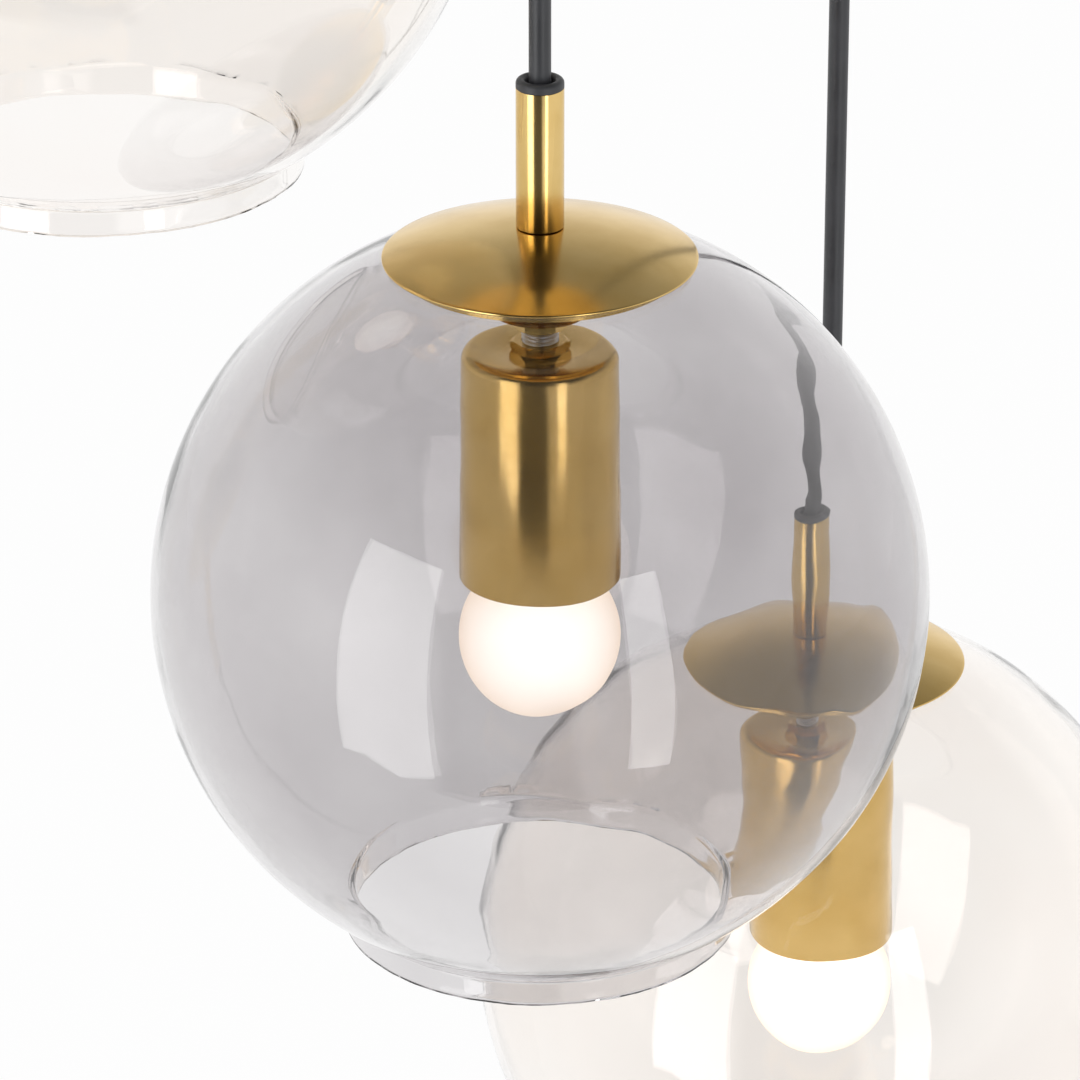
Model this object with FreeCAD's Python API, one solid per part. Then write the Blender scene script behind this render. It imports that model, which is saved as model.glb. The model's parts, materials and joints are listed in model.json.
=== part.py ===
import FreeCAD, Part
import math
import os
from FreeCAD import Vector

# Cluster pendant: three open blown-glass globes with brass fittings, hung on straight black
# cords from one round ceiling canopy.  Millimetres, +Z up.  The origin is the centre of the
# ceiling bracket's top face, which lies against the ceiling.
# Lamp 1 is the middle one in smoke glass, lamp 2 the low amber one, lamp 3 the high amber one.

# Clearances
SEAT = 0.15            # between pieces that bear on each other with curved faces
THREAD_FIT = 0.05      # between a plain thread and its nut, radially
SLIP = 0.3             # around a cord, a bulb cap or a screw that passes freely
PAST = 1.0             # how far a cutting shape runs past what it cuts

# Where the lamps hang
EXIT_RING_R = 121.7
EXIT_ANGLE = {1: -79.5, 2: 25.5, 3: 216.7}
SHORT_CORD = 150.0     # bare cord above the highest lamp
STEP_HIGH_TO_MIDDLE = 207.4
STEP_MIDDLE_TO_LOW = 202.5
LAMPS = tuple(EXIT_ANGLE)

# Glass globe
GLOBE_R = 107.0
GLASS_T = 2.5
TOP_HOLE_R = 22.0
NECK_R = 55.2
NECK_H = 7.5

# Dome cap over the glass, dish under it, and the rings that cushion the glass
DOME_R = 42.7
DOME_T = 0.8
DISH_R = 38.0
DISH_T = 1.0
DISH_KNEE_R = 28.0
DISH_BASE_R = 13.0
DISH_DROP = 20.9       # from the crown of the inner glass surface to the dish's lower face
GASKET_T = 0.5
GASKET_W = 5.5
GASKET_INSET = 1.2     # from a sheet's rim to its gasket

# Nipple, washer and thin hexagon nuts
NIPPLE_R = 5.0
NIPPLE_BORE_R = 3.5
NIPPLE_IN_STEM = 11.0
NIPPLE_IN_CUP = 7.0
WASHER_R = 9.25
WASHER_T = 1.5
NUT_FLATS = 14.0
NUT_H = 2.8
BARE_THREAD = 3.9      # between the two nuts of a lamp

# Stem tube and the cord collar in its top
STEM_R = 6.5
STEM_WALL = 1.0
STEM_L = 39.5
STEM_BOSS_H = 12.0
COLLAR_H = 2.5
COLLAR_SPIGOT_H = 8.0
COLLAR_MOUTH_R = 3.9
CORD_R = 3.0

# Lampholder cup and what it holds
CUP_R = 22.2
CUP_TAPER = 0.7
CUP_H = 66.4
CUP_WALL = 0.9
CUP_SHOULDER = 2.7
HOLDER_R = 19.5
HOLDER_SKIRT_H = 34.0
HOLDER_RECESS = 10.7   # from the cup's rim up to the holder's rim
HOLDER_NECK_R = 9.0
HOLDER_WALL = 3.0
SHELL_R = 13.35
SHELL_T = 0.4
SHELL_L = 22.0
SOCKET_DEPTH = 26.0    # from the holder's rim to the seated bulb's tip
CONTACT_T = 0.6
CONTACT_W = 6.0

# Golf-ball bulb with its screw cap
BULB_R = 22.5
BULB_L = 78.0
CAP_R = 13.05
CAP_L = 27.0
CAP_TIP_R = 4.5
BULB_NECK_R = 14.2
BULB_FILLET = 8.0
BULB_WALL = 1.0
BULB_WIRE_HOLE_R = 3.0
CAP_WALL = 0.5

# Ceiling canopy and bracket
CANOPY_R = 150.0
CANOPY_H = 30.0
CANOPY_T = 1.2
CANOPY_CORNER = 8.0
CANOPY_LIFT = 0.3      # from the ceiling to the canopy's rim
STRAP_W = 28.0
STRAP_T = 1.5
TAB_H = 15.0
SLOT_SPACING = 100.0
SLOT_L = 30.0
SLOT_W = 5.5
SCREW_R = 2.0
SCREW_DROP = 9.0       # side screws below the ceiling
SCREW_HEAD_R = 4.0
SCREW_HEAD_H = 3.0
EARTH_X = 85.0
EARTH_DISC_H = 2.5

# Cord grips in the canopy
GRIP_R = 8.0
GRIP_H = 8.0
GRIP_STEM_R = 5.0
GRIP_STEM_L = 11.0
GRIP_MOUTH_R = 5.2
GRIP_MOUTH_H = 4.0     # the flare; the cord starts to swing at its top
GRIP_EDGE = 2.0

# Terminal block and the stripped cores that reach it
BLOCK_POLES = 3
POLE_PITCH = 12.0
BLOCK_W = 18.0
BLOCK_H = 15.0
BLOCK_BASE_H = 6.0
BARREL_W = 8.0
WIRE_HOLE_R = 1.9
TERMINAL_SCREW_R = 1.6
TERMINAL_SCREW_L = 4.0
TERMINAL_SCREW_SINK = 0.5
TERMINAL_SLOT_DEPTH = 0.7
CORE_R = 1.2
CORE_SPREAD = 3.0
CORE_BEND = 7.0
CORE_LEVEL = 10.0      # cores run this far below the ceiling
LEAD_IN = 20.0         # straight stretch of a core before its pole

# Levels in a lamp, measured from the centre of its globe
glass_in_r = GLOBE_R - GLASS_T
dome_in_r = GLOBE_R + GASKET_T + 2 * SEAT
dome_out_r = dome_in_r + DOME_T
neck_top = -math.sqrt(GLOBE_R ** 2 - NECK_R ** 2)
rim_level = neck_top - NECK_H
pass_r = NIPPLE_R + SLIP
thread_r = NIPPLE_R + THREAD_FIT
stem_foot = math.sqrt(dome_out_r ** 2 - pass_r ** 2) + SEAT
stem_top = stem_foot + STEM_L
throat = stem_top
dish_base = glass_in_r - DISH_DROP
washer_base = dish_base - WASHER_T
clamp_nut_base = washer_base - NUT_H
cup_nut_base = clamp_nut_base - BARE_THREAD - NUT_H
cup_top = cup_nut_base
cup_rim = cup_top - CUP_H
holder_rim = cup_rim + HOLDER_RECESS
holder_top = cup_top - CUP_WALL
bulb_tip = holder_rim + SOCKET_DEPTH
bulb_centre = bulb_tip - BULB_L + BULB_R
cap_rim = bulb_tip - CAP_L

# Levels in the room frame
canopy_base = -CANOPY_LIFT - CANOPY_H
swing_level = canopy_base - GRIP_H + GRIP_MOUTH_H
LEVEL = {3: canopy_base - GRIP_H - SHORT_CORD - (stem_top + COLLAR_H)}
LEVEL[1] = LEVEL[3] - STEP_HIGH_TO_MIDDLE
LEVEL[2] = LEVEL[1] - STEP_MIDDLE_TO_LOW


def lamp_xy(lamp):
    angle = math.radians(EXIT_ANGLE[lamp])
    return EXIT_RING_R * math.cos(angle), EXIT_RING_R * math.sin(angle)


# Outlines: a list of (radius, level) corners; an entry of two points is an arc through the
# first one to the second one.
def outline_edges(outline):
    edges = []
    here = outline[0]
    for entry in outline[1:] + [outline[0]]:
        if isinstance(entry[0], tuple):
            middle, end = entry
            arc = Part.Arc(Vector(here[0], 0, here[1]), Vector(middle[0], 0, middle[1]),
                           Vector(end[0], 0, end[1]))
            edges.append(arc.toShape())
            here = end
        elif math.dist(here, entry) > 1e-7:
            edges.append(Part.LineSegment(Vector(here[0], 0, here[1]),
                                          Vector(entry[0], 0, entry[1])).toShape())
            here = entry
    return edges


def revolved(outline):
    face = Part.Face(Part.Wire(outline_edges(outline)))
    return face.revolve(Vector(0, 0, 0), Vector(0, 0, 1), 360)


def on_sphere(sphere_r, radius, side=1):
    return radius, side * math.sqrt(sphere_r ** 2 - radius ** 2)


def at_angle(centre, radius, degrees):
    angle = math.radians(degrees)
    return centre[0] + radius * math.cos(angle), centre[1] + radius * math.sin(angle)


def sphere_arc(sphere_r, start_r, end_r):
    """Arc entry on the upper half of a sphere, between two radii."""
    return on_sphere(sphere_r, (start_r + end_r) / 2), on_sphere(sphere_r, end_r)


def sphere_band(inner_r, outer_r, near_r, far_r):
    """Ring of sheet that follows a sphere, between two distances from the axis."""
    return revolved([on_sphere(outer_r, near_r),
                     sphere_arc(outer_r, near_r, far_r),
                     on_sphere(inner_r, far_r * inner_r / outer_r),
                     sphere_arc(inner_r, far_r * inner_r / outer_r, near_r)])


def ring(inner_r, outer_r, low, high):
    return revolved([(inner_r, low), (outer_r, low), (outer_r, high), (inner_r, high)])


def box(centre_x, centre_y, low, size_x, size_y, size_z):
    corner = Vector(centre_x - size_x / 2, centre_y - size_y / 2, low)
    return Part.makeBox(size_x, size_y, size_z, corner)


def hex_nut(bore_r, low):
    """Thin hexagon nut with its corners chamfered at both faces."""
    corner_r = NUT_FLATS / math.sqrt(3)
    corners = [Vector(corner_r * math.cos(math.radians(a)), corner_r * math.sin(math.radians(a)), low)
               for a in range(0, 361, 60)]
    prism = Part.Face(Part.makePolygon(corners)).extrude(Vector(0, 0, NUT_H))
    chamfer = (corner_r - NUT_FLATS / 2) * math.tan(math.radians(30))
    flat_r = NUT_FLATS / 2
    cone = revolved([(0, low), (flat_r, low), (corner_r, low + chamfer),
                     (corner_r, low + NUT_H - chamfer), (flat_r, low + NUT_H), (0, low + NUT_H)])
    return prism.common(cone).cut(ring(0, bore_r, low - PAST, low + NUT_H + PAST))


# The pieces of one lamp, about the centre of its globe
def globe():
    lip_r = GLASS_T / 2
    lip = NECK_R - lip_r, rim_level + lip_r
    neck_in_r = NECK_R - GLASS_T
    return revolved([on_sphere(GLOBE_R, TOP_HOLE_R),
                     ((GLOBE_R, 0), on_sphere(GLOBE_R, NECK_R, -1)),
                     (NECK_R, lip[1]),
                     ((lip[0], rim_level), (neck_in_r, lip[1])),
                     on_sphere(glass_in_r, neck_in_r, -1),
                     ((glass_in_r, 0), on_sphere(glass_in_r, TOP_HOLE_R))])


def dome():
    return sphere_band(dome_in_r, dome_out_r, pass_r, DOME_R)


def outer_gasket():
    far_r = DOME_R - GASKET_INSET
    return sphere_band(GLOBE_R + SEAT, GLOBE_R + SEAT + GASKET_T, far_r - GASKET_W, far_r)


def inner_gasket():
    far_r = DISH_R - GASKET_INSET
    return sphere_band(glass_in_r - SEAT - GASKET_T, glass_in_r - SEAT, far_r - GASKET_W, far_r)


def clamp_dish():
    """Spherical flange under the glass, a cone down from it, and a flat base on the nipple."""
    top_r = glass_in_r - 2 * SEAT - GASKET_T
    low_r = top_r - DISH_T
    knee = on_sphere(low_r, DISH_KNEE_R)
    slope = math.atan2(knee[1] - dish_base, DISH_KNEE_R - DISH_BASE_R)
    shift = DISH_T / math.sin(slope)
    bend = DISH_T * math.tan(slope / 2)
    upper_knee = on_sphere(top_r, DISH_KNEE_R - shift + DISH_T / math.tan(slope))
    return revolved([(pass_r, dish_base), (DISH_BASE_R, dish_base), knee,
                     sphere_arc(low_r, DISH_KNEE_R, DISH_R),
                     on_sphere(top_r, DISH_R),
                     sphere_arc(top_r, DISH_R, upper_knee[0]),
                     (DISH_BASE_R - bend, dish_base + DISH_T), (pass_r, dish_base + DISH_T)])


def clamp_washer():
    return ring(pass_r, WASHER_R, washer_base, dish_base)


def hex_nuts():
    return Part.makeCompound([hex_nut(thread_r, clamp_nut_base), hex_nut(thread_r, cup_nut_base)])


def nipple():
    return ring(NIPPLE_BORE_R, NIPPLE_R, cup_top - NIPPLE_IN_CUP, stem_foot + NIPPLE_IN_STEM)


def stem():
    """Tube whose lower end has a threaded boss for the nipple."""
    boss_top = stem_foot + STEM_BOSS_H
    bore_r = STEM_R - STEM_WALL
    return revolved([(thread_r, stem_foot), (STEM_R, stem_foot), (STEM_R, stem_top),
                     (bore_r, stem_top), (bore_r, boss_top), (thread_r, boss_top)])


def cord_collar():
    """Push-in grommet: a spigot in the stem, a rolled lip over it and a flared mouth."""
    bore_r = CORD_R + SLIP
    spigot_r = STEM_R - STEM_WALL - SEAT
    top = stem_top + COLLAR_H
    lip_r = (STEM_R - COLLAR_MOUTH_R) / 2
    lip = STEM_R - lip_r, top - lip_r
    return revolved([(bore_r, stem_top - COLLAR_SPIGOT_H), (spigot_r, stem_top - COLLAR_SPIGOT_H),
                     (spigot_r, stem_top), (STEM_R, stem_top), (STEM_R, lip[1]),
                     ((lip[0], top), (COLLAR_MOUTH_R, lip[1])), (bore_r, stem_top)])


def lamp_cup():
    top_r = CUP_R - CUP_TAPER
    corner = top_r - CUP_SHOULDER, cup_top - CUP_SHOULDER
    inner_corner = CUP_SHOULDER - CUP_WALL
    return revolved([(pass_r, cup_top), (corner[0], cup_top),
                     (at_angle(corner, CUP_SHOULDER, 45), (top_r, corner[1])),
                     (CUP_R, cup_rim), (CUP_R - CUP_WALL, cup_rim),
                     (top_r - CUP_WALL, corner[1]),
                     (at_angle(corner, inner_corner, 45), (corner[0], holder_top)),
                     (pass_r, holder_top)])


def holder():
    """Insulating insert: a skirt round the screw shell, a shoulder and a neck on the nipple."""
    top = holder_top - SEAT
    skirt_top = holder_rim + HOLDER_SKIRT_H
    cavity_r = SHELL_R + SHELL_T + SEAT
    floor = bulb_tip + CONTACT_T + 2 * SLIP
    neck_low = top - HOLDER_NECK_R
    return revolved([(cavity_r, holder_rim), (HOLDER_R, holder_rim), (HOLDER_R, skirt_top),
                     (HOLDER_NECK_R, neck_low), (HOLDER_NECK_R, top),
                     (thread_r, top), (thread_r, floor + HOLDER_WALL),
                     (NIPPLE_BORE_R, floor + HOLDER_WALL), (NIPPLE_BORE_R, floor), (cavity_r, floor)])


def screw_shell():
    low = holder_rim + HOLDER_WALL
    return ring(SHELL_R, SHELL_R + SHELL_T, low, low + SHELL_L)


def centre_contact():
    """Sprung tongue across the floor of the holder, over the bulb's tip."""
    low = bulb_tip + SLIP
    length = 2 * SHELL_R
    tongue = box(0, 0, low, length, CONTACT_W, CONTACT_T)
    return tongue.common(ring(0, SHELL_R, low, low + CONTACT_T))


def bulb_cap():
    """Thin screw shell, a cone of black glass over it and the centre contact at the tip."""
    shell_top = bulb_tip - CAP_TIP_R
    tip_base = bulb_tip - CAP_TIP_R / 3
    inner_r = CAP_R - CAP_WALL
    return revolved([(inner_r, cap_rim), (CAP_R, cap_rim), (CAP_R, shell_top),
                     (CAP_TIP_R, tip_base), (CAP_TIP_R, bulb_tip - SEAT), (0, bulb_tip - SEAT),
                     (0, shell_top - CAP_WALL), (inner_r, shell_top - CAP_WALL)])


def bulb_body(inset, neck_end):
    """Ball and a straight neck joined by a hollow fillet, all drawn in by an inset."""
    ball_r = BULB_R - inset
    neck_r = BULB_NECK_R - inset
    fillet_r = BULB_FILLET + inset
    rise = math.sqrt((ball_r + fillet_r) ** 2 - (neck_r + fillet_r) ** 2)
    fillet = neck_r + fillet_r, bulb_centre + rise
    lean = math.degrees(math.atan2(rise, fillet[0]))
    join = at_angle((0, bulb_centre), ball_r, lean)
    return revolved([(0, neck_end), (neck_r, neck_end), (neck_r, fillet[1]),
                     (at_angle(fillet, fillet_r, 180 + lean / 2), join),
                     ((ball_r, bulb_centre), (0, bulb_centre - ball_r))])


def bulb_glass():
    """Thin glass body, closed by a neck plate that the lead wires pass through."""
    neck_end = cap_rim - SEAT
    plate_low = neck_end - 2 * BULB_WALL
    wire_hole = ring(0, BULB_WIRE_HOLE_R, plate_low - PAST, neck_end + PAST)
    return bulb_body(0, neck_end).cut(bulb_body(BULB_WALL, plate_low)).cut(wire_hole)


def cord(lamp):
    """Plain straight flex from the canopy's grip to the throat of the lamp's collar."""
    x, y = lamp_xy(lamp)
    low = LEVEL[lamp] + throat
    length = swing_level - low
    print("cord", lamp, "straight run", round(length, 2))
    return Part.makeCylinder(CORD_R, length, Vector(x, y, low))


# The ceiling fitting, in the room frame
def canopy():
    wall_r = CANOPY_R - CANOPY_T
    floor = canopy_base + CANOPY_T
    corner = CANOPY_R - CANOPY_CORNER, canopy_base + CANOPY_CORNER
    inner_corner = CANOPY_CORNER - CANOPY_T
    shell = revolved([(0, canopy_base), (corner[0], canopy_base),
                      (at_angle(corner, CANOPY_CORNER, -45), (CANOPY_R, corner[1])),
                      (CANOPY_R, -CANOPY_LIFT), (wall_r, -CANOPY_LIFT), (wall_r, corner[1]),
                      (at_angle(corner, inner_corner, -45), (corner[0], floor)), (0, floor)])
    for lamp in LAMPS:
        x, y = lamp_xy(lamp)
        shell = shell.cut(Part.makeCylinder(GRIP_STEM_R + SLIP, 3 * CANOPY_T,
                                            Vector(x, y, canopy_base - CANOPY_T)))
    far = CANOPY_R + PAST
    side_hole = Part.makeCylinder(SCREW_R + SLIP, 2 * far, Vector(-far, 0, -SCREW_DROP),
                                  Vector(1, 0, 0))
    return shell.cut(side_hole)


def tab_face():
    """How far out the strap's end tabs reach inside the canopy's round wall."""
    return math.sqrt((CANOPY_R - CANOPY_T) ** 2 - (STRAP_W / 2) ** 2) - SLIP / 2


def slot(centre_x):
    """Long hole for a ceiling screw, along the strap."""
    straight = SLOT_L - SLOT_W
    low = -2 * STRAP_T
    depth = 3 * STRAP_T
    shape = box(centre_x, 0, low, straight, SLOT_W, depth)
    for end in (-1, 1):
        shape = shape.fuse(Part.makeCylinder(SLOT_W / 2, depth,
                                             Vector(centre_x + end * straight / 2, 0, low)))
    return shape


def ceiling_bracket():
    """Flat strap with two long holes, bent down at both ends for the side screws."""
    reach = tab_face()
    strap = box(0, 0, -STRAP_T, 2 * reach, STRAP_W, STRAP_T)
    for end in (-1, 1):
        tab = box(end * (reach - STRAP_T / 2), 0, -TAB_H, STRAP_T, STRAP_W, TAB_H)
        strap = strap.fuse(tab)
        strap = strap.cut(slot(end * SLOT_SPACING / 2))
    strap = strap.removeSplitter()
    far = reach + PAST
    side_hole = Part.makeCylinder(SCREW_R + THREAD_FIT, 2 * far, Vector(-far, 0, -SCREW_DROP),
                                  Vector(1, 0, 0))
    earth_hole = Part.makeCylinder(SCREW_R + THREAD_FIT, 3 * STRAP_T, Vector(EARTH_X, 0, -2 * STRAP_T))
    return strap.cut(side_hole).cut(earth_hole)


def screw(head_low, head_h, shank_l):
    """Domed screw with a driver slot; its head's seat is at zero and its shank points up."""
    crown = SCREW_HEAD_R / 2
    body = revolved([(0, head_low), (crown, head_low),
                     ((SCREW_HEAD_R * 0.86, head_low + head_h * 0.28), (SCREW_HEAD_R, 0)),
                     (SCREW_R, 0), (SCREW_R, shank_l), (0, shank_l)])
    notch = box(0, 0, head_low - PAST, 3 * SCREW_HEAD_R, SCREW_R / 2, PAST + head_h / 3)
    return body.cut(notch)


def canopy_screws():
    """One screw through each side of the canopy into the strap's tab."""
    screws = []
    for end in (-1, 1):
        piece = screw(-SCREW_HEAD_H, SCREW_HEAD_H, CANOPY_R - tab_face() + 2 * STRAP_T)
        piece.rotate(Vector(0, 0, 0), Vector(0, 1, 0), -90 * end)
        piece.translate(Vector(end * (CANOPY_R + SEAT), 0, -SCREW_DROP))
        screws.append(piece)
    return Part.makeCompound(screws)


def earth_screw():
    """Clamping screw with its square-edged disc, under the strap."""
    seat = -STRAP_T - SEAT - EARTH_DISC_H
    disc = ring(SCREW_R + THREAD_FIT, SCREW_HEAD_R, seat, -STRAP_T - SEAT)
    piece = screw(-SCREW_HEAD_H, SCREW_HEAD_H, EARTH_DISC_H + STRAP_T)
    piece.translate(Vector(0, 0, seat - SEAT))
    shape = Part.makeCompound([piece, disc])
    shape.translate(Vector(EARTH_X, 0, 0))
    return shape


def cord_grips():
    """Flanged bush in the canopy at each exit, its bore flared so that the cord can swing."""
    bore_r = CORD_R + SLIP
    top = canopy_base - SEAT
    low = canopy_base - GRIP_H
    corner = GRIP_R - GRIP_EDGE, low + GRIP_EDGE
    grips = []
    for lamp in LAMPS:
        x, y = lamp_xy(lamp)
        piece = revolved([(bore_r, top + GRIP_STEM_L), (GRIP_STEM_R, top + GRIP_STEM_L),
                          (GRIP_STEM_R, top), (GRIP_R, top), (GRIP_R, corner[1]),
                          (at_angle(corner, GRIP_EDGE, -45), (corner[0], low)),
                          (GRIP_MOUTH_R, low), (bore_r, swing_level)])
        piece.translate(Vector(x, y, 0))
        grips.append(piece)
    return Part.makeCompound(grips)


def grip_nuts():
    nuts = []
    for lamp in LAMPS:
        x, y = lamp_xy(lamp)
        piece = hex_nut(GRIP_STEM_R + THREAD_FIT, canopy_base + CANOPY_T + SEAT)
        piece.translate(Vector(x, y, 0))
        nuts.append(piece)
    return Part.makeCompound(nuts)


def pole_places():
    return [(i - (BLOCK_POLES - 1) / 2) * POLE_PITCH for i in range(BLOCK_POLES)]


def terminal_block():
    """Moulded strip: a base under the strap and a barrel for each pole, bored for its cores."""
    top = -STRAP_T - SEAT
    low = top - BLOCK_H
    block = box(0, 0, top - BLOCK_BASE_H, BLOCK_POLES * POLE_PITCH, BLOCK_W, BLOCK_BASE_H)
    for x in pole_places():
        block = block.fuse(box(x, 0, low, BARREL_W, BLOCK_W, BLOCK_H - BLOCK_BASE_H))
    block = block.removeSplitter()
    for x in pole_places():
        block = block.cut(Part.makeCylinder(WIRE_HOLE_R, BLOCK_W + 2 * PAST,
                                            Vector(x, -BLOCK_W / 2 - PAST, -CORE_LEVEL),
                                            Vector(0, 1, 0)))
        for side in (-1, 1):
            block = block.cut(Part.makeCylinder(TERMINAL_SCREW_R + THREAD_FIT,
                                                -CORE_LEVEL - low + PAST,
                                                Vector(x, side * BLOCK_W / 4, low - PAST)))
    return block


def terminal_screws():
    """Two slotted grub screws for each pole, sunk into its barrel from below."""
    low = -STRAP_T - SEAT - BLOCK_H + TERMINAL_SCREW_SINK
    screws = []
    for x in pole_places():
        for side in (-1, 1):
            y = side * BLOCK_W / 4
            length = min(TERMINAL_SCREW_L, -CORE_LEVEL - WIRE_HOLE_R - low)
            piece = Part.makeCylinder(TERMINAL_SCREW_R, length, Vector(x, y, low))
            notch = box(x, y, low - PAST, 3 * TERMINAL_SCREW_R, TERMINAL_SCREW_R / 3,
                        PAST + TERMINAL_SLOT_DEPTH)
            screws.append(piece.cut(notch))
    return Part.makeCompound(screws)


def bent_tube(points, radius, bend_r):
    """Round tube along straight runs that are joined by tangent arcs."""
    edges = []
    here = points[0]
    for before, corner, after in zip(points, points[1:], points[2:]):
        way_in = (corner - before).normalize()
        way_out = (after - corner).normalize()
        turn = way_in.getAngle(way_out)
        trim = bend_r * math.tan(turn / 2)
        start = corner - way_in * trim
        end = corner + way_out * trim
        inward = (way_out - way_in).normalize()
        middle = corner + inward * (bend_r / math.cos(turn / 2) - bend_r)
        edges.append(Part.LineSegment(here, start).toShape())
        edges.append(Part.Arc(start, middle, end).toShape())
        here = end
    edges.append(Part.LineSegment(here, points[-1]).toShape())
    path = Part.Wire(edges)
    section = Part.Wire(Part.Circle(points[0], points[1] - points[0], radius).toShape())
    tube = path.makePipeShell([section], True, False)
    share = tube.Volume / (math.pi * radius ** 2 * path.Length)
    print("core length", round(path.Length, 1), "bend radius", bend_r, "volume share", round(share, 4))
    return tube


def inner_leads():
    """Two stripped cores from each grip, bent over to the terminal block's poles."""
    entry_side = {1: -1, 2: 1, 3: -1}
    entry_pole = {1: 1, 2: 2, 3: 0}
    tubes = []
    for lamp in LAMPS:
        x, y = lamp_xy(lamp)
        side = entry_side[lamp]
        pole_x = pole_places()[entry_pole[lamp]]
        turn = Vector(pole_x, side * (BLOCK_W / 2 + LEAD_IN), -CORE_LEVEL)
        face = Vector(pole_x, side * (BLOCK_W / 2 + SLIP), -CORE_LEVEL)
        over = Vector(x, y, -CORE_LEVEL)
        start = Vector(x, y, canopy_base)
        run = (turn - over).normalize()
        across_run = Vector(-run.y, run.x, 0)
        across_entry = Vector(side, 0, 0)
        across_turn = (across_run + across_entry) / (1 + across_run.dot(across_entry))
        for branch in (-CORE_SPREAD / 2, CORE_SPREAD / 2):
            tubes.append(bent_tube([start + across_run * branch, over + across_run * branch,
                                    turn + across_turn * branch, face + across_entry * branch],
                                   CORE_R, CORE_BEND))
    return Part.makeCompound(tubes)


LAMP_PIECES = {"globe": globe, "dome": dome, "outer_gasket": outer_gasket, "inner_gasket": inner_gasket,
               "clamp_dish": clamp_dish, "clamp_washer": clamp_washer, "hex_nuts": hex_nuts,
               "nipple": nipple, "stem": stem, "cord_collar": cord_collar, "lamp_cup": lamp_cup,
               "holder": holder, "screw_shell": screw_shell, "centre_contact": centre_contact,
               "bulb_cap": bulb_cap, "bulb_glass": bulb_glass}

CEILING_PIECES = {"canopy": canopy, "ceiling_bracket": ceiling_bracket, "canopy_screws": canopy_screws,
                  "earth_screw": earth_screw, "cord_grips": cord_grips, "grip_nuts": grip_nuts,
                  "terminal_block": terminal_block, "terminal_screws": terminal_screws,
                  "inner_leads": inner_leads}


def main():
    os.makedirs("parts", exist_ok=True)
    for node, make in CEILING_PIECES.items():
        make().exportStep(f"parts/{node}.step")
    for lamp in LAMPS:
        cord(lamp).exportStep(f"parts/cord_{lamp}.step")
        x, y = lamp_xy(lamp)
        for node, make in LAMP_PIECES.items():
            piece = make()
            piece.translate(Vector(x, y, LEVEL[lamp]))
            piece.exportStep(f"parts/{node}_{lamp}.step")
        print("lamp", lamp, "globe centre", round(x, 2), round(y, 2), round(LEVEL[lamp], 2))


main()
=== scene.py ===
import json
import math
from collections import namedtuple

import bpy
from mathutils import Matrix, Vector


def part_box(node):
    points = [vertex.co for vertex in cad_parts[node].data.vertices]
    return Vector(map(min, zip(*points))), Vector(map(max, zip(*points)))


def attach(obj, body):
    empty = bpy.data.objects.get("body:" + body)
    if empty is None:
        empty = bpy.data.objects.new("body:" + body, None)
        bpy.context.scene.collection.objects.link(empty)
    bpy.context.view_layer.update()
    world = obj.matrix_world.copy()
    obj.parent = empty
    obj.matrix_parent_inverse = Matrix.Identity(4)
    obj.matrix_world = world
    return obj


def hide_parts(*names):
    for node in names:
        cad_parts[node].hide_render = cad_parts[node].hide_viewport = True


# Cluster pendant: three open blown-glass globes with brass fittings, hung on straight black
# cords from one round ceiling canopy.  Metres, +Z up, origin at the ceiling.
# Lamp 1 is the middle one in smoke glass, lamp 2 the low amber one, lamp 3 the high amber one.

bl_info = {
    "name": "Cluster Pendant",
    "version": (1, 0, 0),
    "blender": (4, 5, 0),
    "location": "View3D > Sidebar > Pendant",
    "description": "Globes, brass fittings, bulbs, cords and canopy of a cluster pendant",
    "category": "Object",
}

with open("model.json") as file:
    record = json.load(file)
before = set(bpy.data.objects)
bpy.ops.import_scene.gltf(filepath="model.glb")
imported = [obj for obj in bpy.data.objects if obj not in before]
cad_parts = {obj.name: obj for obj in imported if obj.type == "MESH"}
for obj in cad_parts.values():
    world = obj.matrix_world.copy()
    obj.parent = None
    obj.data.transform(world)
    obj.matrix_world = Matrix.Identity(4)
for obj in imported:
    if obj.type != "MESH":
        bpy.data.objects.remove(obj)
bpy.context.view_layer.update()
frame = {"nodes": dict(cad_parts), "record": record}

LAMPS = (1, 2, 3)
GLASS_SLOTS = ("smoke_glass", "amber_glass", "amber_glass")

# Radii
GLOBE_R = 0.107
TOP_HOLE_R = 0.022
PASS_HOLE = 0.0053         # hole that a nipple or a cord grip goes through
NIPPLE_THREAD = 0.00505    # threaded hole that a nipple screws into
WIRE_BORE = 0.0035         # hollow of a nipple, and the hole below it in the holder
CORD_BORE = 0.0033         # hole that a cord goes through

FIT = 0.00005              # clearance of pieces that screw or press together
MERGE = 4e-6               # ends of a turned wall closer than this become one
SIDES = 128                # round a turned piece that shows
SMALL_SIDES = 64           # round a small one
THREAD_STEPS = 6           # stations in one turn of a thread's profile

# Stage
FLOOR_SIZE = 12
FLOOR_AHEAD = 4.4          # from the origin to the middle of the floor, away from the camera
BOX_DISTANCE = 2.4         # from the middle lamp to each soft box
ROOM_DARK = 0.12           # light of the dark gap in the reflected room
ROOM_FILL = 0.8            # light of the room on matt pieces

Reach = namedtuple("Reach", "low high radius")
SoftBox = namedtuple("SoftBox", "name azimuth rise size watts")

# The azimuth counts from the camera's side, in degrees, + to the right
SOFT_BOXES = (SoftBox("left box", -45, -0.05, (1.15, 2.8), 24),
              SoftBox("right box", 31, 0.0, (0.5, 2.5), 9.4))


def lamp_centre(lamp):
    """Centre of a lamp's globe, from the edge of the hole in its top."""
    low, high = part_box(f"globe_{lamp}")
    return Vector(((low.x + high.x) / 2, (low.y + high.y) / 2,
                   high.z - math.sqrt(GLOBE_R ** 2 - TOP_HOLE_R ** 2)))


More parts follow.
